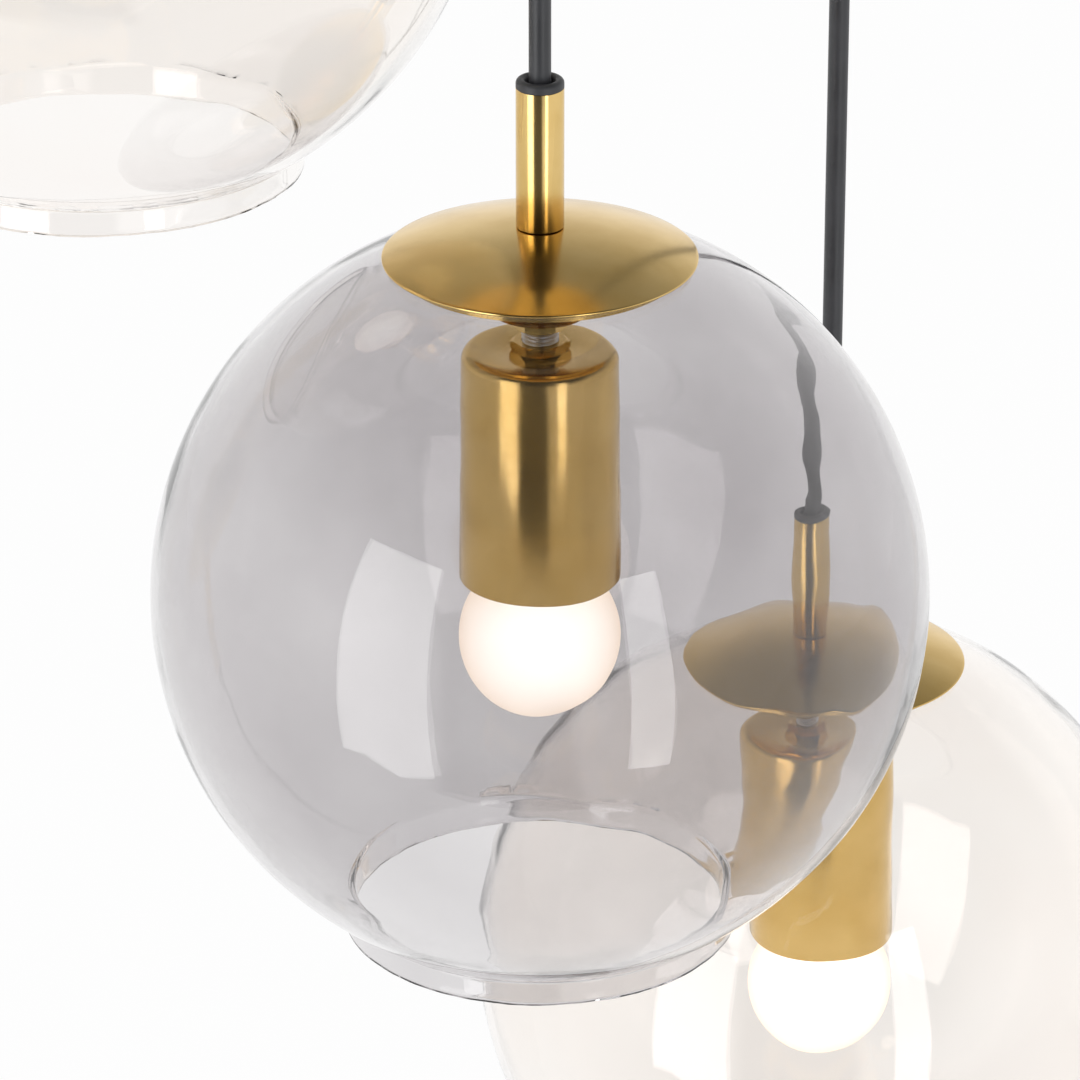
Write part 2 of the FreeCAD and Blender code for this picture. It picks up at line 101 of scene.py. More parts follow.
CENTRE = {lamp: lamp_centre(lamp) for lamp in LAMPS}


def reach(node):
    """Lowest and highest level and half width of a node of lamp 1, about its globe's centre."""
    low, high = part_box(node)
    return Reach(low.z - CENTRE[1].z, high.z - CENTRE[1].z, (high.x - low.x) / 2)


def exit_point(lamp):
    """Where a cord leaves the canopy's grip: the pivot that it swings on."""
    low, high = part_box(f"cord_{lamp}")
    return Vector(((low.x + high.x) / 2, (low.y + high.y) / 2, high.z))


def length(name, description, default):
    return bpy.props.FloatProperty(name=name, description=description, default=default,
                                   min=0, subtype="DISTANCE", unit="LENGTH", precision=4)


def colour(name, description, default):
    return bpy.props.FloatVectorProperty(name=name, description=description, default=default,
                                         size=3, min=0, max=1, subtype="COLOR")


def share(name, description, default):
    return bpy.props.FloatProperty(name=name, description=description, default=default,
                                   min=0, max=1, subtype="FACTOR")


class PendantGlass(bpy.types.PropertyGroup):
    radius: length("Globe radius", "Outside of the blown globe", GLOBE_R)
    wall: length("Wall", "Thickness of the glass", 0.0025)
    top_hole: length("Top hole radius", "Hole that the fitting clamps over", TOP_HOLE_R)
    neck: length("Neck radius", "Outside of the short neck at the open bottom", 0.0552)
    neck_height: length("Neck height", "From the globe's end to the rim", 0.0075)
    unevenness: length("Rim unevenness", "How much the cut rim waves", 0.0007)
    wander: length("Wall wander", "How much the inside of the blown wall wanders", 0.0003)
    smoke: colour("Smoke tint", "What a thin wall of smoke glass lets through",
                  (0.79, 0.775, 0.78))
    smoke_deep: colour("Deep smoke", "What a thicker wall lets through", (0.64, 0.62, 0.628))
    amber: colour("Amber tint", "What a thin wall of amber glass lets through",
                  (0.99, 0.975, 0.955))
    amber_deep: colour("Deep amber", "What a thicker wall lets through", (0.975, 0.94, 0.91))


class PendantBrass(bpy.types.PropertyGroup):
    dome: length("Dome radius", "Rim of the dome cap over the glass", reach("dome_1").radius)
    dome_wall: length("Dome sheet", "Thickness of the dome", 0.0008)
    stem: length("Stem radius", "Outside of the stem tube", reach("stem_1").radius)
    cup: length("Cup radius", "Rim of the lampholder cup", reach("lamp_cup_1").radius)
    cup_taper: length("Cup taper", "How much narrower the cup is at its top", 0.0007)
    cup_shoulder: length("Cup shoulder", "Radius of the cup's rounded shoulder", 0.0027)
    light: colour("Brass", "Clean satin brass", (0.72, 0.51, 0.205))
    deep: colour("Deep brass", "Brass where it has darkened", (0.64, 0.435, 0.15))
    roughness: share("Satin", "How dull the brushed brass is", 0.16)


class PendantBulb(bpy.types.PropertyGroup):
    radius: length("Bulb radius", "Golf-ball bulb", reach("bulb_glass_1").radius)
    neck: length("Neck radius", "Straight neck under the screw cap", 0.0142)
    fillet: length("Fillet", "Hollow curve between ball and neck", 0.008)
    pitch: length("Thread pitch", "Of the screw cap and its shell", 0.00362)
    frost: colour("Frost", "Frosted glass, not alight", (0.4, 0.39, 0.37))
    glow: colour("Glow", "Light of the frosted glass", (1.0, 0.96, 0.9))
    glow_edge: colour("Glow round the edge", "Warmer light round the bulb's edge",
                      (0.62, 0.49, 0.38))


class PendantCord(bpy.types.PropertyGroup):
    radius: length("Cord radius", "Round flex", reach("cord_1").radius)
    black: colour("Black", "Flex, collars and grips", (0.022, 0.023, 0.026))


class PendantCeiling(bpy.types.PropertyGroup):
    radius: length("Canopy radius", "Round ceiling canopy", 0.150)
    sheet: length("Canopy sheet", "Thickness of the canopy", 0.0012)
    corner: length("Canopy corner", "Outer radius of the canopy's corner", 0.008)


class PendantStage(bpy.types.PropertyGroup):
    floor_level: bpy.props.FloatProperty(name="Floor level", description="Height of the floor",
                                         default=-1.75, subtype="DISTANCE", unit="LENGTH")
    lens: bpy.props.FloatProperty(name="Lens", description="Focal length in millimetres",
                                  default=207.79, min=1)
    distance: length("Distance", "Level distance from the camera to the middle lamp", 1.5526)
    height: length("Height", "From the middle lamp up to the camera", 0.7265)
    pitch: bpy.props.FloatProperty(name="Pitch", description="How far the camera looks down",
                                   default=math.radians(24.589), subtype="ANGLE", unit="ROTATION")


GROUPS = {"pendant_glass": PendantGlass, "pendant_brass": PendantBrass, "pendant_bulb": PendantBulb,
          "pendant_cord": PendantCord, "pendant_ceiling": PendantCeiling,
          "pendant_stage": PendantStage}


# Modelling

def deselect_all():
    bpy.ops.object.select_all(action="DESELECT")


def select_only(piece):
    deselect_all()
    piece.select_set(True)
    bpy.context.view_layer.objects.active = piece


def arc(centre, radius, start, end, steps):
    """Stations along an arc of a profile; the angles are in degrees from the level line."""
    angles = [math.radians(start + (end - start) * i / steps) for i in range(steps + 1)]
    return [(centre[0] + radius * math.cos(a), centre[1] + radius * math.sin(a)) for a in angles]


def along_sphere(sphere_r, start_r, end_r, steps):
    """Stations on the upper half of a sphere between two distances from its axis."""
    start, end = (math.degrees(math.acos(r / sphere_r)) for r in (start_r, end_r))
    return arc((0, 0), sphere_r, start, end, steps)


def lathe(name, stations, sides=SIDES):
    """Turned piece: a circle drawn out, sized and raised from one (radius, level) to the next.
    Stations that come back to the first one make a wall; other ends are filled."""
    deselect_all()
    radius, level = stations[0]
    bpy.ops.mesh.primitive_circle_add(vertices=sides, radius=radius, location=(0, 0, level))
    piece = bpy.context.object
    piece.name = piece.data.name = name
    bpy.ops.object.mode_set(mode="EDIT")
    bpy.ops.mesh.select_all(action="SELECT")
    for (before, low), (after, high) in zip(stations, stations[1:]):
        bpy.ops.mesh.extrude_edges_move(TRANSFORM_OT_translate={"value": (0, 0, high - low)})
        grow = after / before
        if grow != 1:
            bpy.ops.transform.resize(value=(grow, grow, 1), center_override=(0, 0, high))
    bpy.ops.mesh.select_all(action="SELECT")
    bpy.ops.mesh.remove_doubles(threshold=MERGE)
    bpy.ops.mesh.fill_holes(sides=0)
    bpy.ops.mesh.select_all(action="SELECT")
    bpy.ops.mesh.normals_make_consistent(inside=False)
    bpy.ops.object.mode_set(mode="OBJECT")
    bpy.ops.object.transform_apply(location=True, rotation=True, scale=True)
    return piece


def apply_modifier(piece, kind, **values):
    modifier = piece.modifiers.new(kind.title(), kind)
    for key, value in values.items():
        setattr(modifier, key, value)
    select_only(piece)
    bpy.ops.object.modifier_apply(modifier=modifier.name)


def soften(piece, width, segments=2, angle=40):
    """Takes the sharp edges off a piece."""
    apply_modifier(piece, "BEVEL", width=width, segments=segments, limit_method="ANGLE",
                   angle_limit=math.radians(angle))


def smooth(piece, angle=35):
    select_only(piece)
    bpy.ops.object.shade_smooth_by_angle(angle=math.radians(angle))


def dress(piece, slot, body, node):
    """Gives a finished piece its material and the body that it moves with, and hides the part that
    it replaces.
    """
    piece.data.materials.clear()
    piece.data.materials.append(MATERIALS[slot])
    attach(piece, body)
    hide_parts(node)


def hang(piece, node, body, *slots):
    """Places a piece drawn about the globe's centre in every lamp, each copy with its own mesh.
    One slot serves all the lamps, or else there is one for each."""
    if len(slots) == 1:
        slots *= len(LAMPS)
    name = piece.name
    copies = [piece]
    for _ in LAMPS[1:]:
        copy = piece.copy()
        copy.data = piece.data.copy()
        bpy.context.collection.objects.link(copy)
        copies.append(copy)
    for lamp, copy, slot in zip(LAMPS, copies, slots):
        copy.data.transform(Matrix.Translation(CENTRE[lamp]))
        copy.name = copy.data.name = f"{name}_{lamp}"
        dress(copy, slot, f"{body}_{lamp}", f"{node}_{lamp}")


# Shared shader effects

def group(name, inputs, outputs):
    """Empty shader node group with the named inputs and outputs."""
    tree = bpy.data.node_groups.new(name, "ShaderNodeTree")
    for label, kind, default in inputs:
        socket = tree.interface.new_socket(name=label, in_out="INPUT", socket_type=kind)
        if default is not None:
            socket.default_value = default
    for label, kind in outputs:
        tree.interface.new_socket(name=label, in_out="OUTPUT", socket_type=kind)
    return tree, tree.nodes.new("NodeGroupInput"), tree.nodes.new("NodeGroupOutput")


def link(tree, source, target):
    tree.links.new(source, target)


def noise(tree, vector, scale, detail=3.0, scale_from=None):
    node = tree.nodes.new("ShaderNodeTexNoise")
    node.inputs["Scale"].default_value = scale
    node.inputs["Detail"].default_value = detail
    link(tree, vector, node.inputs["Vector"])
    if scale_from is not None:
        link(tree, scale_from, node.inputs["Scale"])
    return node


def map_range(tree, value, start, end):
    """Goes from 0 to 1 as a value goes from start to end, unless its ends are set or linked."""
    node = tree.nodes.new("ShaderNodeMapRange")
    node.inputs["From Min"].default_value = start
    node.inputs["From Max"].default_value = end
    link(tree, value, node.inputs["Value"])
    return node


def drift_group():
    """A value and a colour that wander slowly over a surface."""
    tree, source, out = group("Surface Drift", [
        ("Vector", "NodeSocketVector", None), ("Scale", "NodeSocketFloat", 20.0),
        ("Low", "NodeSocketFloat", 0.2), ("High", "NodeSocketFloat", 0.3),
        ("Colour", "NodeSocketColor", (1, 1, 1, 1)),
        ("Other Colour", "NodeSocketColor", (0, 0, 0, 1))],
        [("Value", "NodeSocketFloat"), ("Colour", "NodeSocketColor")])
    cloud = noise(tree, source.outputs["Vector"], 20, 4, source.outputs["Scale"])
    spread = map_range(tree, cloud.outputs["Fac"], 0.3, 0.7)
    link(tree, source.outputs["Low"], spread.inputs["To Min"])
    link(tree, source.outputs["High"], spread.inputs["To Max"])
    mix = tree.nodes.new("ShaderNodeMix")
    mix.data_type = "RGBA"
    part = map_range(tree, cloud.outputs["Fac"], 0.35, 0.65)
    link(tree, part.outputs["Result"], mix.inputs["Factor"])
    link(tree, source.outputs["Colour"], mix.inputs["A"])
    link(tree, source.outputs["Other Colour"], mix.inputs["B"])
    link(tree, spread.outputs["Result"], out.inputs["Value"])
    link(tree, mix.outputs["Result"], out.inputs["Colour"])
    return tree


def satin_group():
    """Height of a brushed face: fine rings round the upright axis over shallow dimples."""
    tree, source, out = group("Satin Brushing", [
        ("Vector", "NodeSocketVector", None), ("Rings", "NodeSocketFloat", 0.4),
        ("Dimples", "NodeSocketFloat", 0.6)], [("Height", "NodeSocketFloat")])
    stretch = tree.nodes.new("ShaderNodeVectorMath")
    stretch.operation = "MULTIPLY"
    stretch.inputs[1].default_value = (40, 40, 5200)
    link(tree, source.outputs["Vector"], stretch.inputs[0])
    rings = noise(tree, stretch.outputs["Vector"], 1, 2)
    dimples = noise(tree, source.outputs["Vector"], 900, 2)
    parts = []
    for texture, amount in ((rings, "Rings"), (dimples, "Dimples")):
        scaled = tree.nodes.new("ShaderNodeMath")
        scaled.operation = "MULTIPLY"
        link(tree, texture.outputs["Fac"], scaled.inputs[0])
        link(tree, source.outputs[amount], scaled.inputs[1])
        parts.append(scaled)
    total = tree.nodes.new("ShaderNodeMath")
    link(tree, parts[0].outputs["Value"], total.inputs[0])
    link(tree, parts[1].outputs["Value"], total.inputs[1])
    link(tree, total.outputs["Value"], out.inputs["Height"])
    return tree


EFFECT_MAKERS = {"drift": drift_group, "satin": satin_group}
EFFECTS = {}


def effect(name):
    """A shared effect, made when it is first asked for."""
    if name not in EFFECTS:
        EFFECTS[name] = EFFECT_MAKERS[name]()
    return EFFECTS[name]


def rgba(values):
    return (*values, 1.0)


class Finish:
    """One material under construction: a Principled shader read from object coordinates."""

    def __init__(self, name):
        self.material = bpy.data.materials.new(name)
        self.material.use_nodes = True
        self.tree = self.material.node_tree
        self.shader = self.tree.nodes["Principled BSDF"]
        self.output = self.tree.nodes["Material Output"]
        self.place = self.tree.nodes.new("ShaderNodeTexCoord").outputs["Object"]

    def plain(self, **sockets):
        """Sets sockets of the shader."""
        for name, value in sockets.items():
            self.shader.inputs[name.replace("_", " ")].default_value = value
        return self

    def use(self, name, **values):
        """Node of a shared effect, with some of its inputs set."""
        node = self.tree.nodes.new("ShaderNodeGroup")
        node.node_tree = effect(name)
        link(self.tree, self.place, node.inputs["Vector"])
        for key, value in values.items():
            node.inputs[key.replace("_", " ")].default_value = value
        return node

    def drift(self, scale, low, high, first, second):
        """Base colour wanders between two colours and roughness between two values; where the two
        are the same, that one is set on the shader."""
        node = self.use("drift", Scale=scale, Low=low, High=high, Colour=rgba(first),
                        Other_Colour=rgba(second))
        for socket, output, one, other in (("Base Color", "Colour", rgba(first), rgba(second)),
                                           ("Roughness", "Value", low, high)):
            if one == other:
                self.shader.inputs[socket].default_value = one
            else:
                link(self.tree, node.outputs[output], self.shader.inputs[socket])
        return self

    def relief(self, height, distance):
        """Bumps of a linked height, up to a distance."""
        bump = self.tree.nodes.new("ShaderNodeBump")
        bump.inputs["Strength"].default_value = 1.0
        bump.inputs["Distance"].default_value = distance
        link(self.tree, height, bump.inputs["Height"])
        link(self.tree, bump.outputs["Normal"], self.shader.inputs["Normal"])
        return self

    def grain(self, scale, distance, detail=3.0):
        """Uneven all over."""
        return self.relief(noise(self.tree, self.place, scale, detail).outputs["Fac"], distance)


def brass_finish(name, light, deep, roughness, rings, dimples):
    """Brushed brass, here and there darker and duller."""
    finish = Finish(name).plain(Metallic=1.0)
    finish.drift(55, roughness - 0.03, roughness + 0.05, light, deep)
    brushing = finish.use("satin", Rings=rings, Dimples=dimples)
    return finish.relief(brushing.outputs["Height"], 0.000012).material


def glass_finish(name, thin, thick):
    """Tinted glass, slightly wavy as blown glass is; rays from lamps pass it unbent."""
    finish = Finish(name).plain(Transmission_Weight=1.0, IOR=1.5)
    finish.drift(8, 0.0, 0.0, thin, thick)
    finish.grain(14, 0.0008, 1.0)
    tree = finish.tree
    clear = tree.nodes.new("ShaderNodeBsdfTransparent")
    clear.inputs["Color"].default_value = rgba(thin)
    mix = tree.nodes.new("ShaderNodeMixShader")
    path = tree.nodes.new("ShaderNodeLightPath")
    link(tree, path.outputs["Is Shadow Ray"], mix.inputs["Fac"])
    link(tree, finish.shader.outputs["BSDF"], mix.inputs[1])
    link(tree, clear.outputs["BSDF"], mix.inputs[2])
    link(tree, mix.outputs["Shader"], finish.output.inputs["Surface"])
    return finish.material


def bulb_finish(sizes):
    """Frosted glass, alight: nearly white where it faces the eye, peach round its edge."""
    finish = Finish("frosted bulb")
    finish.drift(60, 0.5, 0.6, sizes.frost, sizes.frost).grain(1600, 0.00002)
    finish.plain(Emission_Strength=1.5)
    tree = finish.tree
    facing = tree.nodes.new("ShaderNodeLayerWeight")
    facing.inputs["Blend"].default_value = 0.68
    mix = tree.nodes.new("ShaderNodeMix")
    mix.data_type = "RGBA"
    mix.inputs["A"].default_value = rgba(sizes.glow)
    mix.inputs["B"].default_value = rgba(sizes.glow_edge)
    link(tree, facing.outputs["Facing"], mix.inputs["Factor"])
    link(tree, mix.outputs["Result"], finish.shader.inputs["Emission Color"])
    return finish.material


def plain_finish(name, first, second, low, high, **sockets):
    """Finely grained, between two colours and between two values of roughness."""
    finish = Finish(name).plain(**sockets).drift(60, low, high, first, second)
    return finish.grain(900, 0.00002).material


MATERIALS = {}


def make_materials(scene):
    glass, brass, cord = scene.pendant_glass, scene.pendant_brass, scene.pendant_cord
    black = tuple(cord.black)
    dusty = tuple(channel * 1.6 for channel in black)
    MATERIALS.update(
        smoke_glass=glass_finish("smoke glass", glass.smoke, glass.smoke_deep),
        amber_glass=glass_finish("amber glass", glass.amber, glass.amber_deep),
        satin_brass=brass_finish("satin brass", brass.light, brass.deep, brass.roughness, 0.3, 0.5),
        contact_brass=brass_finish("contact brass", brass.light, brass.deep, 0.3, 0.1, 0.3),
        frosted_bulb=bulb_finish(scene.pendant_bulb),
        black_pvc=plain_finish("black flex", black, dusty, 0.38, 0.5),
        black_rubber=plain_finish("black rubber", black, dusty, 0.42, 0.55),
        black_nylon=plain_finish("black nylon", black, dusty, 0.4, 0.5),
        white_nylon=plain_finish("white nylon", (0.8, 0.8, 0.76), (0.74, 0.74, 0.7), 0.4, 0.5),
        clear_gasket=plain_finish("clear gasket", (0.62, 0.62, 0.6), (0.55, 0.55, 0.53), 0.35, 0.5),
        white_ceramic=plain_finish("white ceramic", (0.84, 0.83, 0.8), (0.8, 0.79, 0.75),
                                   0.3, 0.45),
        lead_insulation=plain_finish("lead insulation", (0.16, 0.055, 0.03), (0.12, 0.04, 0.025),
                                     0.4, 0.5),
        zinc_plated_steel=plain_finish("zinc plated steel", (0.66, 0.67, 0.68), (0.56, 0.57, 0.59),
                                       0.28, 0.42, Metallic=1.0),
        bulb_cap_metal=plain_finish("bulb cap metal", (0.72, 0.72, 0.73), (0.64, 0.64, 0.66),
                                    0.25, 0.4, Metallic=1.0),
    )


# Profiles

def tube_profile(inner, outer, low, high):
    """Stations round the wall of a plain tube or disc."""
    return [(inner, low), (outer, low), (outer, high), (inner, high), (inner, low)]


def thread_profile(low, high, core, crest, pitch):
    """Stations up the rounded ridges of a thread between two levels."""
    count = round((high - low) / pitch * THREAD_STEPS)
    middle, swing = (core + crest) / 2, (crest - core) / 2
    return [(middle - swing * math.cos(2 * math.pi * i / THREAD_STEPS),
             low + (high - low) * i / count) for i in range(count + 1)]


class PendantOperator:
    bl_options = {"REGISTER", "UNDO"}


class PENDANT_OT_camera(PendantOperator, bpy.types.Operator):
    """Sets the camera level with the view of the middle lamp from a little above"""
    bl_idname = "pendant.camera"
    bl_label = "Camera"

    def execute(self, context):
        stage = context.scene.pendant_stage
        place = CENTRE[1] + Vector((0, -stage.distance, stage.height))
        bpy.ops.object.camera_add(location=place, rotation=(math.pi / 2 - stage.pitch, 0, 0))
        camera = context.object
        camera.data.lens = stage.lens
        camera.data.sensor_width = 36
        camera.data.clip_end = 100
        context.scene.camera = camera
        return {"FINISHED"}


class PENDANT_OT_materials(PendantOperator, bpy.types.Operator):
    """Makes the finishes and puts them on the pieces that keep their plain form"""
    bl_idname = "pendant.materials"
    bl_label = "Finishes"

    def execute(self, context):
        make_materials(context.scene)
        for entry in frame["record"]["subparts"]:
            piece = frame["nodes"][entry["node"]]
            piece.data.materials.clear()
            piece.data.materials.append(MATERIALS[entry["material_slot"]])
        return {"FINISHED"}


class PENDANT_OT_cords(PendantOperator, bpy.types.Operator):
    """Hangs each cord straight from its grip in the canopy to the collar of its lamp"""
    bl_idname = "pendant.cords"
    bl_label = "Cords"

    def execute(self, context):
        radius = context.scene.pendant_cord.radius
        for lamp in LAMPS:
            top = exit_point(lamp)
            foot = Vector((top.x, top.y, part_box(f"cord_{lamp}")[0].z))
            lead = 12 * radius
            levels = (top.z, top.z - lead, foot.z + lead, foot.z)
            data = bpy.data.curves.new(f"flex_{lamp}", "CURVE")
            data.dimensions = "3D"
            spline = data.splines.new("NURBS")
            spline.points.add(len(levels) - 1)
            for point, level in zip(spline.points, levels):
                point.co = (top.x, top.y, level, 1)
            spline.order_u = 3
            spline.use_endpoint_u = True
            data.bevel_depth = radius
            data.bevel_resolution = 10
            data.use_fill_caps = True
            data.materials.append(MATERIALS["black_pvc"])
            piece = bpy.data.objects.new(f"flex_{lamp}", data)
            context.collection.objects.link(piece)
            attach(piece, f"hanging_cord_{lamp}")
            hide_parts(f"cord_{lamp}")
        return {"FINISHED"}


class PENDANT_OT_globes(PendantOperator, bpy.types.Operator):
    """Blows the open globes: a sphere cut at top and bottom, its neck drawn down, then walled"""
    bl_idname = "pendant.globes"
    bl_label = "Globes"

    def execute(self, context):
        glass = context.scene.pendant_glass
        neck_top = -math.sqrt(glass.radius ** 2 - glass.neck ** 2)
        rim = neck_top - glass.neck_height
        hole_level = math.sqrt(glass.radius ** 2 - glass.top_hole ** 2)
        deselect_all()
        bpy.ops.mesh.primitive_uv_sphere_add(segments=160, ring_count=120, radius=glass.radius)
        piece = context.object
        piece.name = piece.data.name = "blown_globe"
        bpy.ops.object.mode_set(mode="EDIT")
        bpy.ops.mesh.select_all(action="SELECT")
        bpy.ops.mesh.bisect(plane_co=(0, 0, hole_level), plane_no=(0, 0, 1), clear_outer=True)
        bpy.ops.mesh.select_all(action="SELECT")
        bpy.ops.mesh.bisect(plane_co=(0, 0, neck_top), plane_no=(0, 0, 1), clear_inner=True)
        first, second = 0.0012, 0.0018
        rest = (glass.neck_height - first - second) / 2
        self.keep_level(piece, neck_top)
        for drop in (first, second, rest, rest):
            bpy.ops.mesh.extrude_edges_move(TRANSFORM_OT_translate={"value": (0, 0, -drop)})
        bpy.ops.mesh.select_all(action="SELECT")
        bpy.ops.mesh.normals_make_consistent(inside=False)
        bpy.ops.object.mode_set(mode="OBJECT")
        piece.vertex_groups.new(name="inside")
        apply_modifier(piece, "SOLIDIFY", thickness=glass.wall, offset=-1, use_even_offset=True,
                       shell_vertex_group="inside")
        soften(piece, 0.0011, segments=4, angle=50)
        self.wave(piece, 0.03, glass.wander, "inside", "NORMAL")
        self.mark_rim(piece, rim, 0.8 * glass.neck_height)
        for size, strength in ((0.02, glass.unevenness), (0.006, glass.unevenness * 0.6)):
            self.wave(piece, size, strength, "rim", "Z")
        smooth(piece, 50)
        hang(piece, "globe", "lamp", *GLASS_SLOTS)
        return {"FINISHED"}

    def keep_level(self, piece, level):
        """Selects only the ring of edges at one level."""
        near = 1e-5
        bpy.ops.mesh.select_all(action="DESELECT")
        bpy.ops.object.mode_set(mode="OBJECT")
        for edge in piece.data.edges:
            ends = [piece.data.vertices[i].co.z for i in edge.vertices]
            edge.select = all(abs(z - level) < near for z in ends)
        bpy.ops.object.mode_set(mode="EDIT")
        bpy.ops.mesh.select_mode(type="EDGE")

    def mark_rim(self, piece, rim, height):
        """Vertex group that fades out upwards from the cut rim."""
        zone = piece.vertex_groups.new(name="rim")
        for vertex in piece.data.vertices:
            weight = 1 - (vertex.co.z - rim) / height
            if weight > 0:
                zone.add([vertex.index], weight, "REPLACE")

    def wave(self, piece, size, strength, zone, direction):
        """Lets one zone of the glass run slightly in and out, or up and down."""
        texture = bpy.data.textures.new(f"{zone} wave", "CLOUDS")
        texture.noise_scale = size
        apply_modifier(piece, "DISPLACE", texture=texture, direction=direction, strength=strength,
                       mid_level=0.5, vertex_group=zone, texture_coords="LOCAL")


class PENDANT_OT_clamps(PendantOperator, bpy.types.Operator):
    """Turns what clamps the glass: dome, washer and threaded nipple"""
    bl_idname = "pendant.clamps"
    bl_label = "Glass clamps"

    def execute(self, context):
        brass = context.scene.pendant_brass
        outer = math.hypot(PASS_HOLE, reach("dome_1").high)
        inner = outer - brass.dome_wall
        profile = along_sphere(outer, PASS_HOLE, brass.dome, 40)
        profile += along_sphere(inner, brass.dome * inner / outer, PASS_HOLE, 40) + [profile[0]]
        piece = lathe("spun_dome", profile)
        soften(piece, 0.0003, segments=3, angle=45)
        smooth(piece)
        hang(piece, "dome", "lamp", "satin_brass")

        washer = reach("clamp_washer_1")
        profile = tube_profile(PASS_HOLE, washer.radius, washer.low, washer.high)
        piece = lathe("clamp_disc", profile, SMALL_SIDES)
        soften(piece, 0.0003)
        smooth(piece)
        hang(piece, "clamp_washer", "lamp", "satin_brass")

        nipple = reach("nipple_1")
        pitch, depth = 0.001, 0.0005
        profile = thread_profile(nipple.low, nipple.high, nipple.radius - depth, nipple.radius,
                                 pitch)
        profile += [(WIRE_BORE, nipple.high), (WIRE_BORE, nipple.low), profile[0]]
        piece = lathe("threaded_nipple", profile, sides=48)
        smooth(piece, 50)
        hang(piece, "nipple", "lamp", "zinc_plated_steel")
        return {"FINISHED"}


class PENDANT_OT_stems(PendantOperator, bpy.types.Operator):
    """Turns the stem tubes and the rolled cord collars in their tops"""
    bl_idname = "pendant.stems"
    bl_label = "Stems and collars"

    def execute(self, context):
        stem, collar = reach("stem_1"), reach("cord_collar_1")
        wall, boss = 0.001, 0.012
        inside = stem.radius - wall
        profile = [(NIPPLE_THREAD, stem.low), (stem.radius, stem.low), (stem.radius, stem.high),
                   (inside, stem.high), (inside, stem.low + boss),
                   (NIPPLE_THREAD, stem.low + boss), (NIPPLE_THREAD, stem.low)]
        piece = lathe("stem_tube", profile, SMALL_SIDES)
        soften(piece, 0.00035, segments=3)
        smooth(piece)
        hang(piece, "stem", "lamp", "satin_brass")

        mouth, spigot = 0.0039, inside - FIT
        lip = (stem.radius - mouth) / 2
        crown = (stem.radius - lip, collar.high - lip)
        profile = [(CORD_BORE, collar.low), (spigot, collar.low), (spigot, stem.high),
                   (stem.radius, stem.high)]
        profile += arc(crown, lip, 0, 180, 12) + [(CORD_BORE, stem.high), (CORD_BORE, collar.low)]
        piece = lathe("rolled_collar", profile, SMALL_SIDES)
        smooth(piece)
        hang(piece, "cord_collar", "lamp", "black_rubber")
        return {"FINISHED"}


class PENDANT_OT_cups(PendantOperator, bpy.types.Operator):
    """Draws the lampholder cups and turns the holders and screw shells inside them"""
    bl_idname = "pendant.cups"
    bl_label = "Lampholders"

    def execute(self, context):
        brass, bulb = context.scene.pendant_brass, context.scene.pendant_bulb
        cup, holder, shell = reach("lamp_cup_1"), reach("holder_1"), reach("screw_shell_1")
        wall, top = 0.0009, brass.cup - brass.cup_taper
        corner = (top - brass.cup_shoulder, cup.high - brass.cup_shoulder)
        profile = [(PASS_HOLE, cup.high)] + arc(corner, brass.cup_shoulder, 90, 0, 10)
        profile += [(brass.cup, cup.low), (brass.cup - wall, cup.low)]
        profile += arc(corner, brass.cup_shoulder - wall, 0, 90, 8)
        profile += [(PASS_HOLE, cup.high - wall), (PASS_HOLE, cup.high)]
        piece = lathe("drawn_cup", profile)
        soften(piece, 0.0002, segments=2, angle=60)
        smooth(piece)
        hang(piece, "lamp_cup", "lamp", "satin_brass")

        # The plate between cavity and thread has its underside at the level "floor"
        cavity, neck = shell.radius + FIT, 0.009
        floor, plate, skirt = 0.0435, 0.003, 0.034
        profile = [(cavity, holder.low), (holder.radius, holder.low),
                   (holder.radius, holder.low + skirt), (neck, holder.high - neck),
                   (neck, holder.high), (NIPPLE_THREAD, holder.high),
                   (NIPPLE_THREAD, floor + plate), (WIRE_BORE, floor + plate),
                   (WIRE_BORE, floor), (cavity, floor), (cavity, holder.low)]
        piece = lathe("holder_insert", profile, SMALL_SIDES)
        soften(piece, 0.0004)
        smooth(piece)
        hang(piece, "holder", "lamp", "white_ceramic")

        sheet = 0.0004
        crest = shell.radius
        core = crest - 0.6 * sheet
        outside = thread_profile(shell.low, shell.high, core, crest, bulb.pitch)
        inside = [(radius - sheet * 0.6, level) for radius, level in reversed(outside)]
        piece = lathe("screw_socket", outside + inside + [outside[0]], SMALL_SIDES)
        smooth(piece, 50)
        hang(piece, "screw_shell", "lamp", "contact_brass")
        return {"FINISHED"}


